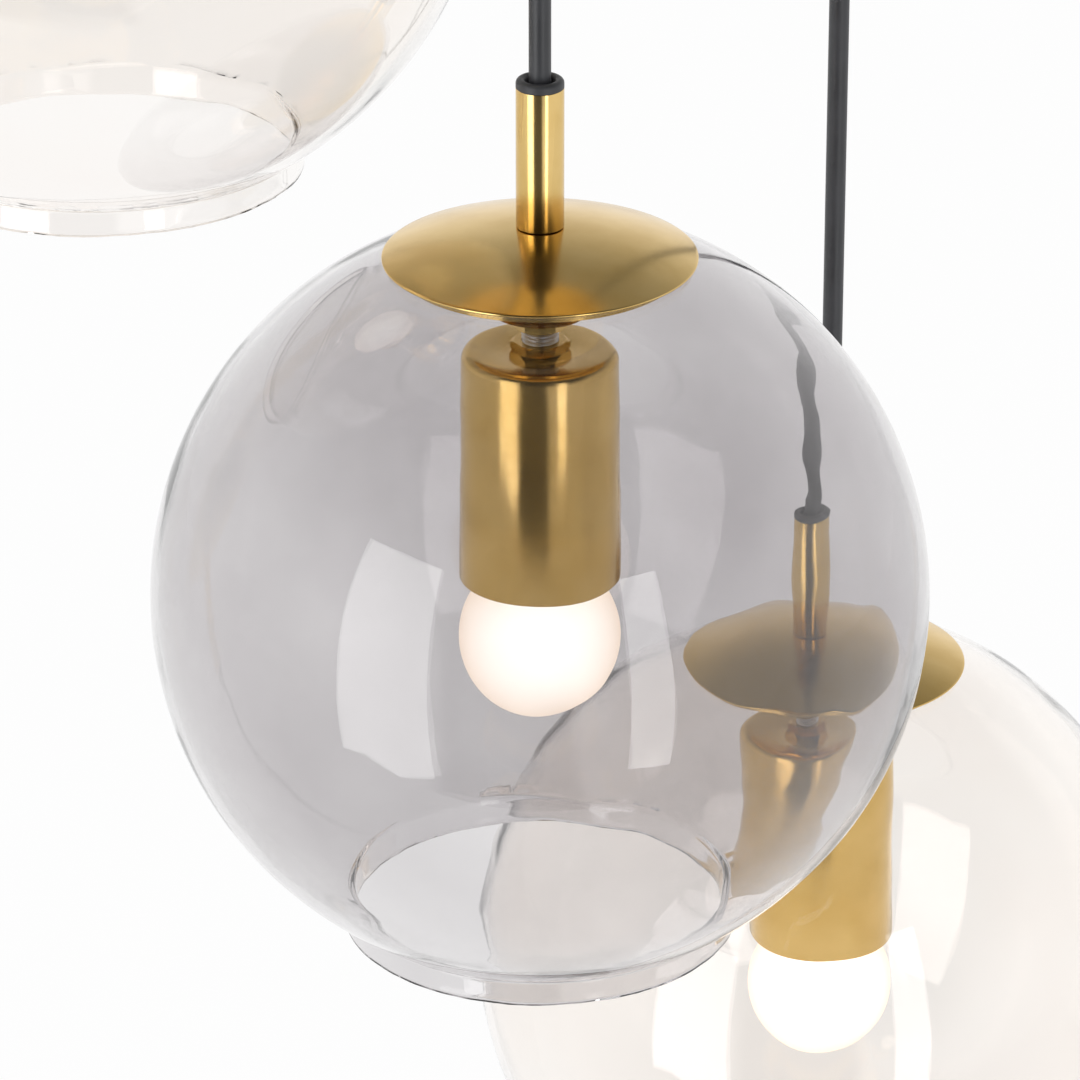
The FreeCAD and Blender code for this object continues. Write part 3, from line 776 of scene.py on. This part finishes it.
class PENDANT_OT_bulbs(PendantOperator, bpy.types.Operator):
    """Turns the golf-ball bulbs and their screw caps"""
    bl_idname = "pendant.bulbs"
    bl_label = "Bulbs"

    def execute(self, context):
        bulb = context.scene.pendant_bulb
        glass, cap = reach("bulb_glass_1"), reach("bulb_cap_1")
        centre = glass.low + bulb.radius
        rise = math.sqrt((bulb.radius + bulb.fillet) ** 2 - (bulb.neck + bulb.fillet) ** 2)
        lean = math.degrees(math.atan2(rise, bulb.neck + bulb.fillet))
        pole, edge = -88.5, 0.001
        hollow = (bulb.neck + bulb.fillet, centre + rise)
        profile = arc((0, centre), bulb.radius, pole, lean, 56)
        profile += arc(hollow, bulb.fillet, 180 + lean, 180, 8)[1:]
        profile += [(bulb.neck, glass.high - edge), (bulb.neck - edge, glass.high)]
        piece = lathe("bulb_globe", profile, 96)
        smooth(piece, 50)
        hang(piece, "bulb_glass", "bulb", "frosted_bulb")

        tip, wall, pin = 0.0045, 0.0005, 0.001
        lead, depth = 0.002, 0.0009
        shell_top = cap.high - tip + FIT
        core, crest = cap.radius - depth, cap.radius
        threads = thread_profile(cap.low + lead, shell_top - lead, core, crest, bulb.pitch)
        profile = [(core - wall, cap.low), (core, cap.low)] + threads
        profile += [(core - edge, shell_top), (tip, cap.high - tip / 3), (tip, cap.high),
                    (pin, cap.high), (pin, shell_top - wall), (core - wall, shell_top - wall),
                    (core - wall, cap.low)]
        piece = lathe("bulb_screw_cap", profile, SMALL_SIDES)
        smooth(piece, 50)
        hang(piece, "bulb_cap", "bulb_base", "bulb_cap_metal")
        return {"FINISHED"}


class PENDANT_OT_canopy(PendantOperator, bpy.types.Operator):
    """Spins the ceiling canopy, bores it and sets the cord grips in it"""
    bl_idname = "pendant.canopy"
    bl_label = "Canopy"

    def execute(self, context):
        ceiling = context.scene.pendant_ceiling
        low, high = (corner.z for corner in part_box("canopy"))
        sheet, edge, middle = ceiling.sheet, ceiling.corner, 0.0005
        corner = (ceiling.radius - edge, low + edge)
        profile = [(middle, low)] + arc(corner, edge, -90, 0, 12)
        profile += [(ceiling.radius, high), (ceiling.radius - sheet, high)]
        profile += arc(corner, edge - sheet, 0, -90, 10) + [(middle, low + sheet)]
        piece = lathe("spun_canopy", profile, sides=192)
        soften(piece, 0.0003, segments=2, angle=60)
        for lamp in LAMPS:
            top = exit_point(lamp)
            self.bore(piece, (top.x, top.y, low), PASS_HOLE, 0.02, (0, 0, 0))
        screw_hole = 0.0023
        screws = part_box("canopy_screws")
        level = (screws[0].z + screws[1].z) / 2
        self.bore(piece, (0, 0, level), screw_hole, 3 * ceiling.radius, (0, math.pi / 2, 0))
        smooth(piece)
        dress(piece, "satin_brass", "ceiling_fitting", "canopy")

        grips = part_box("cord_grips")
        radius, round_r, shank, mouth, flare = 0.008, 0.002, 0.005, 0.0052, 0.004
        foot, head = grips[0].z, grips[1].z
        seat = low - FIT
        corner = (radius - round_r, foot + round_r)
        profile = [(CORD_BORE, head), (shank, head), (shank, seat), (radius, seat)]
        profile += arc(corner, round_r, 0, -90, 8)
        profile += [(mouth, foot), (CORD_BORE, foot + flare), (CORD_BORE, head)]
        bushes = []
        for lamp in LAMPS:
            bush = lathe("cord_bush", profile, SMALL_SIDES)
            top = exit_point(lamp)
            bush.data.transform(Matrix.Translation((top.x, top.y, 0)))
            bushes.append(bush)
        deselect_all()
        for bush in bushes:
            bush.select_set(True)
        context.view_layer.objects.active = bushes[0]
        bpy.ops.object.join()
        smooth(bushes[0])
        dress(bushes[0], "black_nylon", "ceiling_fitting", "cord_grips")
        return {"FINISHED"}

    def bore(self, piece, place, radius, depth, turn):
        """Cuts a round hole through the sheet."""
        deselect_all()
        bpy.ops.mesh.primitive_cylinder_add(vertices=48, radius=radius, depth=depth, location=place,
                                            rotation=turn)
        drill = bpy.context.object
        apply_modifier(piece, "BOOLEAN", object=drill, operation="DIFFERENCE", solver="EXACT")
        bpy.data.objects.remove(drill)


class PENDANT_OT_stage(PendantOperator, bpy.types.Operator):
    """Lays a plain white floor and lights it with soft boxes"""
    bl_idname = "pendant.stage"
    bl_label = "Stage"

    def execute(self, context):
        level = context.scene.pendant_stage.floor_level
        deselect_all()
        bpy.ops.mesh.primitive_plane_add(size=FLOOR_SIZE, location=(0, FLOOR_AHEAD, level))
        floor = context.object
        floor.name = "floor"
        bpy.ops.object.transform_apply(location=True, rotation=True, scale=True)
        floor.data.materials.append(self.floor_finish())
        for soft_box in SOFT_BOXES:
            self.light_up(CENTRE[1], soft_box)
        self.world(context.scene)
        context.scene.view_settings.view_transform = "Standard"
        return {"FINISHED"}

    def light_up(self, centre, soft_box):
        """Adds a rectangular soft box that faces the lamps."""
        a = math.radians(soft_box.azimuth)
        place = centre + Vector((BOX_DISTANCE * math.sin(a), -BOX_DISTANCE * math.cos(a),
                                 soft_box.rise))
        bpy.ops.object.light_add(type="AREA", location=place)
        box = bpy.context.object
        box.name = soft_box.name
        box.rotation_euler = (centre - place).to_track_quat("-Z", "Y").to_euler()
        box.data.shape = "RECTANGLE"
        box.data.size, box.data.size_y = soft_box.size
        box.data.energy = soft_box.watts
        box.visible_camera = False
        self.hide_through_glass(box.data)

    def hide_through_glass(self, lamp):
        """A look straight through the glass misses the box, which still shows in reflections.
        The ray's depths tell the two apart: a lamp isn't told the kind of ray.  Pieces inside the
        globes get the box's light by reflection only."""
        lamp.use_nodes = True
        tree = lamp.node_tree
        path = tree.nodes.new("ShaderNodeLightPath")
        bent = self.sum_up(tree, "ADD", path.outputs["Glossy Depth"], path.outputs["Diffuse Depth"])
        straight = self.ramp(tree, bent, 0, 1, 1, 0)
        through = self.ramp(tree, path.outputs["Transmission Depth"], 0, 1, 0, 1)
        hidden = self.sum_up(tree, "MULTIPLY", straight, through)
        link(tree, self.ramp(tree, hidden, 0, 1, 1, 0), tree.nodes["Emission"].inputs["Strength"])

    def ramp(self, tree, value, start, end, low, high):
        """Goes smoothly from low at start to high at end."""
        node = map_range(tree, value, start, end)
        node.interpolation_type = "SMOOTHSTEP"
        node.inputs["To Min"].default_value = low
        node.inputs["To Max"].default_value = high
        return node.outputs["Result"]

    def sum_up(self, tree, operation, *values):
        """Sum, product or largest of several values."""
        total = values[0]
        for value in values[1:]:
            node = tree.nodes.new("ShaderNodeMath")
            node.operation = operation
            link(tree, total, node.inputs[0])
            link(tree, value, node.inputs[1])
            total = node.outputs["Value"]
        return total

    def towards(self, tree, vector, direction):
        """How far a vector goes in a direction."""
        dot = tree.nodes.new("ShaderNodeVectorMath")
        dot.operation = "DOT_PRODUCT"
        dot.inputs[1].default_value = direction
        link(tree, vector, dot.inputs[0])
        return dot.outputs["Value"]

    def light(self, tree, kind, strength):
        """White light of one strength or of a linked one."""
        node = tree.nodes.new(kind)
        node.inputs["Color"].default_value = (1, 1, 1, 1)
        if isinstance(strength, float):
            node.inputs["Strength"].default_value = strength
        else:
            link(tree, strength, node.inputs["Strength"])
        return node.outputs[0]

    def mixed(self, tree, amount, first, second):
        """The first shader, and the second by an amount."""
        node = tree.nodes.new("ShaderNodeMixShader")
        link(tree, amount, node.inputs["Fac"])
        link(tree, first, node.inputs[1])
        link(tree, second, node.inputs[2])
        return node.outputs["Shader"]

    def floor_finish(self):
        """Pale paper that shows white, a little darker in a shadow, and clear from below."""
        finish = Finish("pale floor").drift(2, 0.7, 0.8, (0.82, 0.82, 0.82), (0.8, 0.8, 0.8))
        tree = finish.tree
        path = tree.nodes.new("ShaderNodeLightPath")
        lit = self.ramp(tree, path.outputs["Is Diffuse Ray"], 0, 1, 0.9, 0)
        glow = self.light(tree, "ShaderNodeEmission", 1.02)
        paper = self.mixed(tree, lit, finish.shader.outputs["BSDF"], glow)
        side = tree.nodes.new("ShaderNodeNewGeometry")
        clear = tree.nodes.new("ShaderNodeBsdfTransparent")
        surface = self.mixed(tree, side.outputs["Backfacing"], paper, clear.outputs["BSDF"])
        link(tree, surface, finish.output.inputs["Surface"])
        return finish.material

    def world(self, scene):
        """White to the eye and through glass, and an even fill for matt pieces.  Reflected, it is a
        pale room, dimmer overhead, with a dark gap behind the camera between the soft boxes."""
        world = bpy.data.worlds.new("studio")
        scene.world = world
        world.use_nodes = True
        tree = world.node_tree
        tree.nodes.remove(tree.nodes["Background"])
        place = tree.nodes.new("ShaderNodeTexCoord").outputs["Generated"]
        height = self.towards(tree, place, (0, 0, 1))
        beside = [self.ramp(tree, self.towards(tree, place, (0.986 * side, -0.165 * side, 0)),
                            0.27, 0.38, ROOM_DARK, 1.0) for side in (-1, 1)]
        beyond = self.ramp(tree, self.towards(tree, place, (0.165, 0.986, 0)), -0.2, 0,
                           ROOM_DARK, 1.0)
        below = self.ramp(tree, height, -0.75, -0.6, 1.0, ROOM_DARK)
        gap = self.sum_up(tree, "MAXIMUM", *beside, beyond, below)
        overhead = self.ramp(tree, height, 0.1, 0.8, 1.05, 0.33)
        above_camera = self.ramp(tree, self.towards(tree, place, (0.1, -0.64, 0.76)), 0.4, 0.8,
                                 1.0, 0.2)
        path = tree.nodes.new("ShaderNodeLightPath")
        reflected = self.ramp(tree, path.outputs["Glossy Depth"], 0, 1, 0, 1)
        room = self.light(tree, "ShaderNodeBackground",
                          self.sum_up(tree, "MULTIPLY", gap, overhead, above_camera))
        seen = self.mixed(tree, reflected, self.light(tree, "ShaderNodeBackground", 1.0), room)
        fill = self.light(tree, "ShaderNodeBackground", ROOM_FILL)
        surface = self.mixed(tree, path.outputs["Is Diffuse Ray"], seen, fill)
        link(tree, surface, tree.nodes["World Output"].inputs["Surface"])


OPERATORS = (PENDANT_OT_camera, PENDANT_OT_materials, PENDANT_OT_cords, PENDANT_OT_globes,
             PENDANT_OT_clamps, PENDANT_OT_stems, PENDANT_OT_cups, PENDANT_OT_bulbs,
             PENDANT_OT_canopy, PENDANT_OT_stage)


class PENDANT_PT_panel(bpy.types.Panel):
    """Sizes, colours and steps of the cluster pendant"""
    bl_idname = "PENDANT_PT_panel"
    bl_label = "Cluster Pendant"
    bl_space_type = "VIEW_3D"
    bl_region_type = "UI"
    bl_category = "Pendant"

    def draw(self, context):
        for key, kind in GROUPS.items():
            box = self.layout.box()
            for name in kind.__annotations__:
                box.prop(getattr(context.scene, key), name)
        for operator in OPERATORS:
            self.layout.operator(operator.bl_idname)


def register():
    for kind in (*GROUPS.values(), *OPERATORS, PENDANT_PT_panel):
        bpy.utils.register_class(kind)
    for key, kind in GROUPS.items():
        setattr(bpy.types.Scene, key, bpy.props.PointerProperty(type=kind))


def unregister():
    for key in GROUPS:
        delattr(bpy.types.Scene, key)
    for kind in reversed((*GROUPS.values(), *OPERATORS, PENDANT_PT_panel)):
        bpy.utils.unregister_class(kind)


def main():
    register()
    for operator in OPERATORS:
        category, name = operator.bl_idname.split(".")
        getattr(getattr(bpy.ops, category), name)()


if __name__ == "__main__":
    main()
